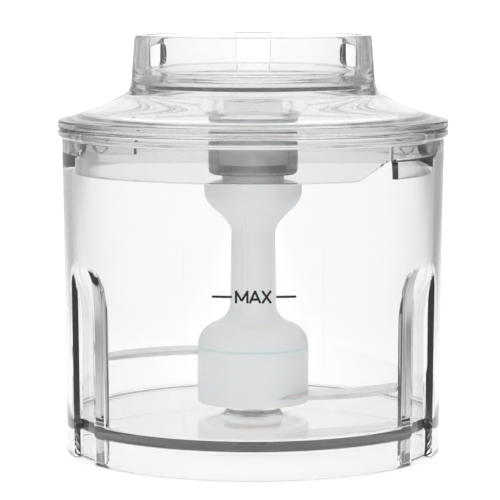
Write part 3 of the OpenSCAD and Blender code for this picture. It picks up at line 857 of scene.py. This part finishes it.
bell = lathe("blade_bell_skin", soften([
    (13.55, 13.3, 0.3), (15.8, 13.3, 0.45), (15.8, 29.0, 0.1), (13.55, 29.0, 0.1)], step=2.0),
    np.arange(180) * 2.0)
place(bell, "blade", "milky_plastic", milky_plastic, "blade_bell")


# %% [markdown]
# ## The spigot and the thrust washer
#
# The spigot stands in the head and has the six ridges that fit the coupler's slots. The washer
# lies on the boss and carries the blade's weight while it turns.

# %% Spigot and washer
def press_ridges(r, z, bearing):
    """Six ridges on the spigot that fit the coupler's slots with a little play."""
    ridge = smooth_step((np.abs(np.cos(np.radians(3 * bearing))) - 0.84) / 0.10)
    return np.where((z > 76.3) & (z < 83.4) & (r > 4.5), r + 1.05 * ridge, r)


spigot = lathe("spigot", np.concatenate([
    soften([(0, 72.02, 0), (9.6, 72.02, 0.2), (9.6, 76.2, 0.3), (5.2, 76.2, 0)],
           closed=False, step=1.0),
    run((5.0, 76.35), (5.0, 83.1), 1.0),
    bend((5.0, 83.2), (5.0, 84.0), (4.2, 84.0), 4),
    [[4.0, 84.0], [0, 84.0]]]), np.arange(240) * 1.5, press_ridges)
place(spigot, "blade", "smoke_plastic", coupler_plastic, "drive_spigot")
washer_low, washer_high = 12.22, 13.2
washer = lathe("washer_skin", soften([
    (2.55, washer_low, 0.1), (8.2, washer_low, 0.2), (8.2, washer_high, 0.2),
    (2.55, washer_high, 0.1)]), np.arange(120) * 3.0)
place(washer, "washer", "milky_plastic", milky_plastic, "thrust_washer")


# %% [markdown]
# ## The blades
#
# Two curved steel blades stand at two heights, half a turn apart. Each is stamped from 1.2 mm
# sheet and ground along its outer edge. Both edges are arcs about different centres, so the
# blade narrows toward its tip. It is made as a section swept along the blade, which keeps the
# ground bevel an even width.

# %% Blades
edge_centre, edge_r = (12.0, 22.0), 36.5
back_centre, back_r = (9.0, 42.5), 45.0


def blade_arm(name, low, high, turn):
    """One blade: its edges are two circles about different centres, so it narrows outwards,
    and its outer edge is ground to a bevel. Position u runs along the blade and v goes round
    its section."""
    u = np.linspace(0, 1, 70)[:, None]
    x = 6.5 + u * 36.8
    outer = edge_centre[1] - np.sqrt(edge_r ** 2 - (x - edge_centre[0]) ** 2)
    inner = back_centre[1] - np.sqrt(back_r ** 2 - (x - back_centre[0]) ** 2)
    tip = np.sqrt(np.maximum(1 - ((u - 0.9) / 0.1).clip(0, 1) ** 2, 0.0))
    middle = (outer + inner) / 2
    half = (inner - outer) / 2 * (0.12 + 0.88 * tip)
    # The section goes across from the cutting edge (-1) to the back (+1)
    across = np.array([-1.0, -0.72, -0.70, 0.0, 0.93, 1.0, 1.0, 0.93, 0.0, -0.70, -1.0])[None, :]
    level = np.array([0.25, 1.0, 1.0, 1.0, 1.0, 0.85, 0.15, 0.0, 0.0, 0.0, 0.12])[None, :]
    y = middle + across * half
    z = low + level * (high - low) + 0 * y
    points = np.stack([x + 0 * y, y, z], axis=-1)
    angle = math.radians(turn)
    spin = np.array([[math.cos(angle), math.sin(angle), 0], [-math.sin(angle), math.cos(angle), 0],
                     [0, 0, 1]])
    points = points @ spin
    ends = points[[0, -1]].mean(axis=1)
    n = points.shape[1]
    points = np.concatenate([np.broadcast_to(ends[:1, None], (1, n, 3)), points,
                             np.broadcast_to(ends[1:, None], (1, n, 3))])
    return new_piece(name, points, grid_quads(len(points), n, False, True), sharp=18)


blade_thick = 1.2
for name, node, foot, turn in (("lower_arm", "lower_blade", 15.5, 0),
                               ("upper_arm", "upper_blade", 26.1, 180)):
    arm = blade_arm(name, foot, foot + blade_thick, turn)
    place(arm, "blade", "blade_steel", blade_steel, node)
    print(name, "faces:", len(arm.data.polygons))

# %% [markdown]
# ## Finishes on the CAD parts that stay
#
# The small pressed-in parts and the fill mark are used as they come from the CAD and only
# need their finish. The finish tells turned steel, bronze, rubber and plastic apart through
# the clear walls.

# %% CAD finishes
cad_finish = {
    "fill_mark": printed_ink, "coupler_bush": milky_plastic, "coupler_seal": seal_rubber,
    "coupler_washer": turned_steel, "coupler_circlip": turned_steel, "drive_insert": turned_steel,
    "blade_spacer": milky_plastic, "blade_retainer": turned_steel, "shaft_bush": bearing_bronze}
for node, finish in cad_finish.items():
    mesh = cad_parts[node].data
    mesh.materials.clear()
    mesh.materials.append(finish)
print("CAD nodes with a finish:", len(cad_finish))

# %% [markdown]
# ## The floor
#
# The object stands on a sweep of white paper that widens toward the back, on a pale grey table.
# Both glow a little, a painted light that lifts the object's own shade off the paper so that it
# stays white. The table's grey is what the sides of the walls bend toward, low down, in the same
# way as the screens above it. The edge between the two is soft.

# %% Floor
SWEEP_HALF = 0.080       # half width of the paper beside the object, in metres
SWEEP_OPEN = 0.115       # how much it widens for each metre behind
SWEEP_FADE = 0.16        # width of its soft edge
TABLE_LEFT, TABLE_RIGHT = 0.50, 0.38  # brightness beside the paper
PAPER = 0.93
# Painted light: how brightly the paper and the table glow, lifting the object's shade on them.
PAINTED_GLOW = 0.26

floor_size = 40.0
floor = bpy.data.objects.new("floor", bpy.data.meshes.new("floor"))
floor.data.from_pydata([(-floor_size, -floor_size, 0), (floor_size, -floor_size, 0),
                        (floor_size, floor_size, 0), (-floor_size, floor_size, 0)],
                       [], [(0, 1, 2, 3)])
scene.collection.objects.link(floor)
floor_finish = bpy.data.materials.new("floor")
floor_finish.use_nodes = True
ground = floor_finish.node_tree
floor_shader = ground.nodes["Principled BSDF"]
floor_shader.inputs["Roughness"].default_value = 0.9
floor_coords = ground.nodes.new("ShaderNodeTexCoord")
floor_axis = ground.nodes.new("ShaderNodeSeparateXYZ")
ground.links.new(floor_coords.outputs["Object"], floor_axis.inputs["Vector"])
aside = math_node(ground, "ABSOLUTE", floor_axis.outputs["X"])
behind = math_node(ground, "MAXIMUM", floor_axis.outputs["Y"], 0.0)
paper_half = math_node(ground, "MULTIPLY_ADD", behind, SWEEP_OPEN, SWEEP_HALF)
edge = fade_node(ground, math_node(ground, "SUBTRACT", aside, paper_half), 0.0, SWEEP_FADE)
edge.inputs["To Min"].default_value = 1.0
on_right = math_node(ground, "GREATER_THAN", floor_axis.outputs["X"], 0.0)
table = math_node(ground, "MULTIPLY_ADD", on_right, TABLE_RIGHT - TABLE_LEFT, TABLE_LEFT)
ground.links.new(table, edge.inputs["To Max"])
tint = math_node(ground, "MULTIPLY", edge.outputs["Result"], PAPER)
floor_tint_and_glow = ground.nodes.new("ShaderNodeCombineColor")
for slot in range(3):
    ground.links.new(tint, floor_tint_and_glow.inputs[slot])
ground.links.new(floor_tint_and_glow.outputs["Color"], floor_shader.inputs["Base Color"])
# Painted light: the floor emits its own tint, so the object's shade on it is lifted.
ground.links.new(floor_tint_and_glow.outputs["Color"], floor_shader.inputs["Emission Color"])
floor_shader.inputs["Emission Strength"].default_value = PAINTED_GLOW
floor.data.materials.append(floor_finish)
print("floor nodes:", len(ground.nodes))
